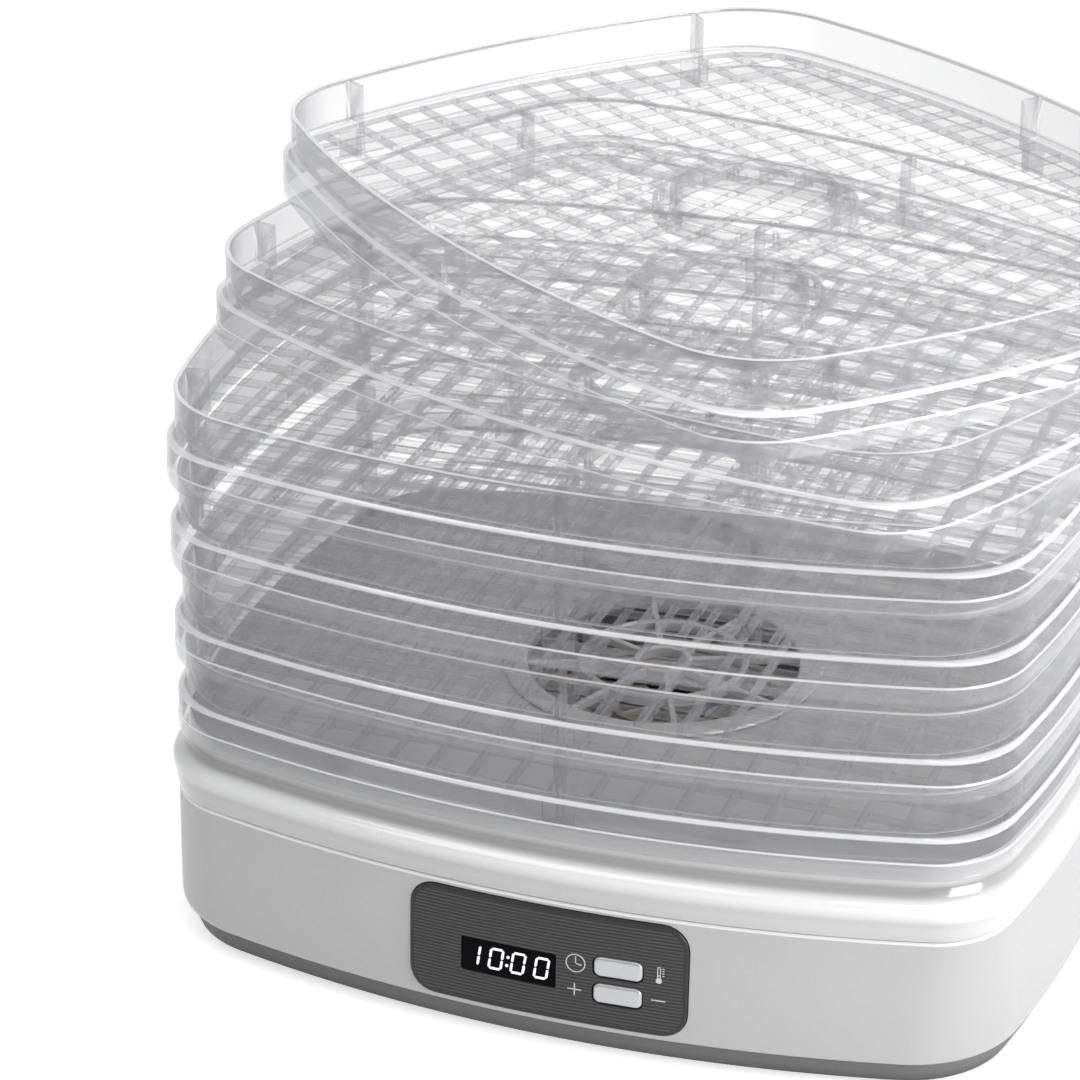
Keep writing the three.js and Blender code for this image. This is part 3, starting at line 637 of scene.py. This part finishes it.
def build_plate():
    """Tucked-in base plate with a dished floor, air slots, screw wells and foot holes."""
    side = [(-1.6, 3, 37), (-0.8, 3.25, 37.5), (-0.4, 4.2, 38), (0.2, 7, 38.5), (0.7, 11.8, 39),
            (-1.6, 11.8, 37), (-4.2, 5.5, 35)]
    rim = [at_height(outline(grow, corner), z) for grow, z, corner in side]
    bottom = [at_height(outline(-1.6, 37) * s, 3) for s in (0.02, 0.4, 0.8)]
    floor = [at_height(outline(-4.2, 35) * s, 5.5) for s in (0.8, 0.4, 0.02)]
    plate = add_mesh("dark_base_plate", loft(bottom + rim + floor))
    slots = [rotated(bar((0, -15, 4), (0, -42, 4), 8, 4, chamfer=1.2), 36 * i + 18 + 90) for i in range(10)]
    well = turned_solid([(4.1, 1), (4.1, 5.3), (1.9, 5.31), (1.9, 20)], 24)
    wells = [rotated(well, 0, (x, y, 0)) for x in (-118, 118) for y in (-84, 84)]
    stem_hole = turned_solid([(3.5, 0), (3.5, 10)], 24)
    stems = [rotated(stem_hole, 0, (x, y, 0)) for x, y in FOOT_PLACES]
    carve(plate, ("DIFFERENCE", joined(slots)), ("DIFFERENCE", joined(wells)), ("DIFFERENCE", joined(stems)))
    finish_piece(plate, "base", ["base_plate"], DARK_GREY)


def build_feet():
    profile = [(0.1, 0), (7.9, 0), (8.5, 0.15), (8.9, 0.6), (9, 1.4), (8.9, 2.7), (3, 2.7), (3, 7), (0.1, 7)]
    foot = turned_solid(profile)
    for number, (x, y) in enumerate(FOOT_PLACES, 1):
        piece = add_mesh(f"rubber_foot_{number}", rotated(foot, 0, (x, y, 0)))
        finish_piece(piece, "base", [f"foot_{number}"], RUBBER)


def build_grille():
    """Outlet guard: flange, two hoops and eight spokes."""
    low, top = DECK - 2, DECK + 1.8
    flange = turned([(51.3, low), (51.3, 84.3), (56.7, 84.3), (57, 84.7), (56.6, 85.5), (55.6, top),
                     (49.2, top), (48.5, 85.2), (48.5, low)])
    guard = add_mesh("outlet_guard", flange)
    hoops = [turned([(b, low), (b, top - 0.5), (b - 0.5, top), (a + 0.5, top), (a, top - 0.5), (a, low)])
             for a, b in ((8, 10.4), (28, 30.4))]
    spoke = bar((0, -9.2, 83.85), (0, -49.5, 83.85), 3.4, 2.1, chamfer=0.5)
    spokes = [rotated(spoke, 45 * i + 22.5) for i in range(8)]
    carve(guard, ("UNION", joined(spokes)), ("UNION", hoops[0]), ("UNION", hoops[1]))
    finish_piece(guard, "base", ["air_outlet_grille"], GLOSS_WHITE)


# ---- control panel ----
def build_bezel():
    bezel = add_mesh("ribbed_bezel", plaque(97.7, 41.5, 9, PANEL_X, PANEL_Z, 0.9, 1.5, edge=0.7))
    holes = [plaque(34.0, 13.1, 1.1, WINDOW_X, WINDOW_Z, 6, 6, edge=0.05)]
    holes += [plaque(17.7, 8.2, 2.8, KEY_X, z, 6, 6, edge=0.05) for z in KEY_HEIGHTS.values()]
    carve(bezel, ("DIFFERENCE", joined(holes)))
    finish_piece(bezel, "base", ["panel_bezel"], ribbed_panel())
    glass = plaque(33.4, 12.5, 0.8, WINDOW_X, WINDOW_Z, 0.4, 1.2, edge=0.25)
    window = add_mesh("display_window_glass", glass)
    finish_piece(window, "base", ["display_window"], GLASS_BLACK)
    for name, z in KEY_HEIGHTS.items():
        key = add_mesh(f"silver_key_{name}", plaque(16.9, 7.4, 2.4, KEY_X, z, 1.3, 4.5, edge=1.2, dish=0.15))
        finish_piece(key, f"{name}_key", [f"rocker_key_{name}"], KEY_SILVER)


DIGIT_HALF_WIDTH, DIGIT_HALF_HEIGHT, STROKE, SLANT = 2.15, 3.7, 0.42, 0.14
SEGMENTS = {"0": "abcdef", "1": "bc"}


def segment(letter, x, z):
    """One lit segment of a seven-segment digit about (x, z): a slanted bar with pointed ends."""
    w, h = DIGIT_HALF_WIDTH, DIGIT_HALF_HEIGHT
    ends = {"a": ((-w, h), (w, h)), "d": ((-w, -h), (w, -h)), "b": ((w, 0), (w, h)), "c": ((w, -h), (w, 0)),
            "e": ((-w, -h), (-w, 0)), "f": ((-w, 0), (-w, h))}[letter]
    start, end = (np.array(p, float) for p in ends)
    along = (end - start) / np.linalg.norm(end - start)
    side = np.array([-along[1], along[0]]) * STROKE
    start, end = start + along * 0.12, end - along * 0.12
    inner = along * STROKE
    polygon = np.array([start, start + inner - side, end - inner - side,
                        end, end - inner + side, start + inner + side])
    polygon[:, 0] += SLANT * polygon[:, 1]
    return on_wall(polygon + [x, z], 0.5)


def disc(x, z, radius, proud, steps=16):
    """Round printed spot."""
    a = np.arange(steps) * 2 * np.pi / steps
    return on_wall(np.stack([x + radius * np.cos(a), z + radius * np.sin(a)], -1), proud, 0)


def stroke_line(x0, z0, x1, z1, width, proud=0.97):
    """Straight printed line from one point to the other."""
    start, end = np.array([x0, z0], float), np.array([x1, z1], float)
    along = (end - start) / np.linalg.norm(end - start)
    side = np.array([-along[1], along[0]]) * width / 2
    return on_wall([start - side, end - side, end + side, start + side], proud, 0)


def printed_ring(x, z, radius, width, proud=0.97, steps=48):
    """Printed circle line as a ring-shaped solid on the wall."""
    a = np.arange(steps) * 2 * np.pi / steps
    rings = []
    outer, inner = radius + width / 2, radius - width / 2
    for r, lift in ((outer, 0), (outer, proud), (inner, proud), (inner, 0)):
        px, pz = x + r * np.cos(a), z + r * np.sin(a)
        rings.append(np.column_stack([px, wall_y(px, pz) - lift, pz]))
    return hoop(rings)


def build_display():
    places = [("1", -12.7), ("0", -4.4), ("0", 3.5), ("0", 11.8)]
    parts = [segment(letter, WINDOW_X + x, WINDOW_Z) for digit, x in places for letter in SEGMENTS[digit]]
    parts += [disc(WINDOW_X - 0.3 + SLANT * z, WINDOW_Z + z, 0.55, 0.5) for z in (-1.6, 1.6)]
    digits = add_mesh("display_digits", joined(parts))
    finish_piece(digits, "base", [], GLYPH_WHITE)


def build_icons():
    """Clock, plus, thermometer and minus beside the keys."""
    lines = [(12.3, 37.5, 12.3, 39.9, 0.35), (12.4, 37.3, 14.4, 36.9, 0.35), (9.7, 27.5, 14.5, 27.5, 0.4),
             (12.1, 25.3, 12.1, 29.7, 0.4), (38.4, 28.2, 43.2, 28.2, 0.4), (40.35, 36.6, 40.35, 40.5, 0.28),
             (41.25, 36.6, 41.25, 40.5, 0.28), (40.3, 40.7, 41.3, 40.7, 0.28)]
    lines += [(41.9, z, 42.6, z, 0.28) for z in (37.6, 38.5, 39.4, 40.3)]
    parts = [printed_ring(12.3, 37.4, 3.25, 0.35), disc(40.8, 35.7, 1.05, 0.97), disc(40.8, 37.6, 0.25, 0.99)]
    parts += [stroke_line(*line) for line in lines]
    icons = add_mesh("panel_icons", joined(parts))
    finish_piece(icons, "base", [], ICON_GREY)


def build_gland():
    """Cord bushing on the rear wall: ribbed flange, neck and inner nut round an open bore."""
    profile = [(9, -2.2), (8.6, -2.5), (6.2, -2.7), (5.4, -3.2), (5.0, -5), (4.9, -11.4), (4.6, -12),
               (3.3, -12), (3.2, -11.6), (3.2, 7), (8, 7), (8, 4), (5, 4), (5, -0.3), (8.8, -0.3), (9, -0.6)]
    points, faces = turned(profile[::-1], 48)
    upright = np.array([[1, 0, 0], [0, 0, -1], [0, 1, 0]])
    lean = -np.degrees(np.arcsin(60 / FRONT_RADIUS))
    part = rotated((points @ upright.T, faces), lean, (60, -wall_y(60, 37.7) + 0.9, 30))
    gland = add_mesh("cord_bushing", part)
    finish_piece(gland, "base", ["cord_gland"], RUBBER)


# ---- hidden works keep their CAD shapes ----
CAD_MATERIALS = {
    "black_plastic": BLACK, "steel": STEEL, "mica": MICA, "heating_wire": WIRE, "circuit_board": BOARD_GREEN,
    "grey_plastic": DARK_GREY, "silver_plastic": SATIN_SILVER, "rubber": RUBBER, "white_plastic": GLOSS_WHITE,
    "satin_key": KEY_SILVER, "display_black": GLASS_BLACK, "clear_plastic": CLEAR,
}


def dress_cad_nodes():
    slots = {part["node"]: part["material_slot"] for part in frame["record"]["subparts"]}
    for name, node in frame["nodes"].items():
        if slots[name] in CAD_MATERIALS:
            node.data.materials.clear()
            node.data.materials.append(CAD_MATERIALS[slots[name]])


# ---- studio ----
ROOM_DIM = 0.22  # brightness of the room behind the camera, in reflections
EVEN_LIGHT, FLOOR_GLOW = 0.42, 0.62
LAMP_AIM_HEIGHT = 0.12
SOFTBOXES = {  # offset from the aim point, (wide, high), power
    "top_strip": ((0.1, -0.25, 1.35), (2.2, 0.4), 8),
    "right_softbox": ((1.45, -0.6, 0.45), (0.9, 0.9), 24),
    "left_softbox": ((-1.3, -0.9, 0.7), (0.6, 0.6), 0.6),
}


def unseen_by_diffuse(tree):
    """1 for camera, glossy and transmission rays, 0 for the rest."""
    path = tree.nodes.new("ShaderNodeLightPath")
    total = path.outputs["Is Camera Ray"]
    for name in ("Is Glossy Ray", "Is Transmission Ray"):
        either = tree.nodes.new("ShaderNodeMath")
        either.operation = "MAXIMUM"
        tree.links.new(total, either.inputs[0])
        tree.links.new(path.outputs[name], either.inputs[1])
        total = either.outputs[0]
    return total


def build_floor():
    floor = add_mesh("studio_floor", loft([at_height(circle(6000, 64), z) for z in (-4, -0.2)]), np.zeros(3))
    material = bpy.data.materials.new("studio_floor_white")
    material.use_nodes = True
    tree = material.node_tree
    plain = tree.nodes["Principled BSDF"]
    plain.inputs["Base Color"].default_value = (0.8, 0.8, 0.8, 1)
    plain.inputs["Roughness"].default_value = 0.9
    plain.inputs["Specular IOR Level"].default_value = 0.0
    glow = tree.nodes.new("ShaderNodeEmission")
    glow.inputs["Strength"].default_value = FLOOR_GLOW
    both = tree.nodes.new("ShaderNodeAddShader")
    mix = tree.nodes.new("ShaderNodeMixShader")
    tree.links.new(plain.outputs[0], both.inputs[0])
    tree.links.new(glow.outputs[0], both.inputs[1])
    tree.links.new(unseen_by_diffuse(tree), mix.inputs[0])
    tree.links.new(plain.outputs[0], mix.inputs[1])
    tree.links.new(both.outputs[0], mix.inputs[2])
    tree.links.new(mix.outputs[0], tree.nodes["Material Output"].inputs["Surface"])
    floor.data.materials.append(material)


def surround_brightness(tree):
    """White for the camera; mirrored, the room behind the camera is dim and the rest white."""
    def ranged(value, low, high, dim, bright):
        node = tree.nodes.new("ShaderNodeMapRange")
        tree.links.new(value, node.inputs["Value"])
        for socket, number in zip(("From Min", "From Max", "To Min", "To Max"), (low, high, dim, bright)):
            node.inputs[socket].default_value = number
        return node.outputs["Result"]

    def larger(first, second):
        node = tree.nodes.new("ShaderNodeMath")
        node.operation = "MAXIMUM"
        tree.links.new(first, node.inputs[0])
        tree.links.new(second, node.inputs[1])
        return node.outputs[0]
    direction = tree.nodes.new("ShaderNodeSeparateXYZ")
    tree.links.new(tree.nodes.new("ShaderNodeTexCoord").outputs["Generated"], direction.inputs[0])
    from_front = ranged(direction.outputs["Y"], -0.85, -0.25, ROOM_DIM, 1.0)
    from_above = ranged(direction.outputs["Z"], 0.35, 0.8, 0.0, 1.0)
    camera = tree.nodes.new("ShaderNodeLightPath").outputs["Is Camera Ray"]
    return larger(larger(from_front, from_above), camera)


def build_world():
    """Even grey light, with a white surround for what is seen, mirrored or seen through clear plastic."""
    world = bpy.data.worlds.new("studio")
    bpy.context.scene.world = world
    world.use_nodes = True
    tree = world.node_tree
    light = tree.nodes["Background"]
    light.inputs["Color"].default_value = (0.98, 0.99, 1.0, 1)
    light.inputs["Strength"].default_value = EVEN_LIGHT
    seen = tree.nodes.new("ShaderNodeBackground")
    seen.inputs["Color"].default_value = (1, 1, 1, 1)
    tree.links.new(surround_brightness(tree), seen.inputs["Strength"])
    mix = tree.nodes.new("ShaderNodeMixShader")
    tree.links.new(unseen_by_diffuse(tree), mix.inputs[0])
    tree.links.new(light.outputs[0], mix.inputs[1])
    tree.links.new(seen.outputs[0], mix.inputs[2])
    tree.links.new(mix.outputs[0], tree.nodes["World Output"].inputs["Surface"])


def add_softbox(name, place, target, sides, power):
    """Rectangular lamp, (wide, high), with its face towards the target."""
    lamp = bpy.data.lights.new(name, "AREA")
    lamp.shape, lamp.size, lamp.size_y, lamp.energy = "RECTANGLE", *sides, power
    softbox = bpy.data.objects.new(name, lamp)
    bpy.context.scene.collection.objects.link(softbox)
    back = np.array(place, float) - target
    aim(softbox, place, back)


def aim(item, place, back):
    """Puts a lamp or camera at the place, looking against `back`, level."""
    back = np.array(back, float) / np.linalg.norm(back)
    right = np.cross([0, 0, 1], back)
    right = right / np.linalg.norm(right)
    columns = np.column_stack([right, np.cross(back, right), back])
    item.matrix_world = Matrix.Translation(place) @ Matrix(columns.tolist()).to_4x4()


CAMERA_AZIMUTH, CAMERA_ELEVATION = radians(19.7946), radians(25.6972)
CAMERA_DISTANCE, CAMERA_RIGHT, CAMERA_UP = 1.2994, -0.04390, 0.01818
TARGET_HEIGHT, LENS, SENSOR = 0.1118, 122.94, 36.0


def build_camera():
    th, e = CAMERA_AZIMUTH, CAMERA_ELEVATION
    right = np.array([np.cos(th), np.sin(th), 0])
    back = np.array([np.sin(th) * np.cos(e), -np.cos(th) * np.cos(e), np.sin(e)])
    up = np.cross(back, right)
    place = BASE_AXIS + [0, 0, TARGET_HEIGHT] + back * CAMERA_DISTANCE + right * CAMERA_RIGHT + up * CAMERA_UP
    camera = bpy.data.objects.new("camera", bpy.data.cameras.new("camera"))
    camera.data.lens, camera.data.sensor_width = LENS, SENSOR
    camera.data.clip_end = 50
    bpy.context.scene.collection.objects.link(camera)
    aim(camera, place, back)
    bpy.context.scene.camera = camera


def build_studio():
    build_floor()
    build_world()
    middle = BASE_AXIS + [0, 0, LAMP_AIM_HEIGHT]
    for name, (offset, sides, power) in SOFTBOXES.items():
        add_softbox(name, middle + offset, middle, sides, power)
    build_camera()
    scene = bpy.context.scene
    scene.view_settings.view_transform = "Standard"
    scene.cycles.max_bounces = 28
    scene.cycles.transmission_bounces = 28
    scene.cycles.transparent_max_bounces = 64


build_trays()
build_top_shell()
build_body_shell()
build_plate()
build_feet()
build_grille()
build_bezel()
build_display()
build_icons()
build_gland()
dress_cad_nodes()
build_studio()
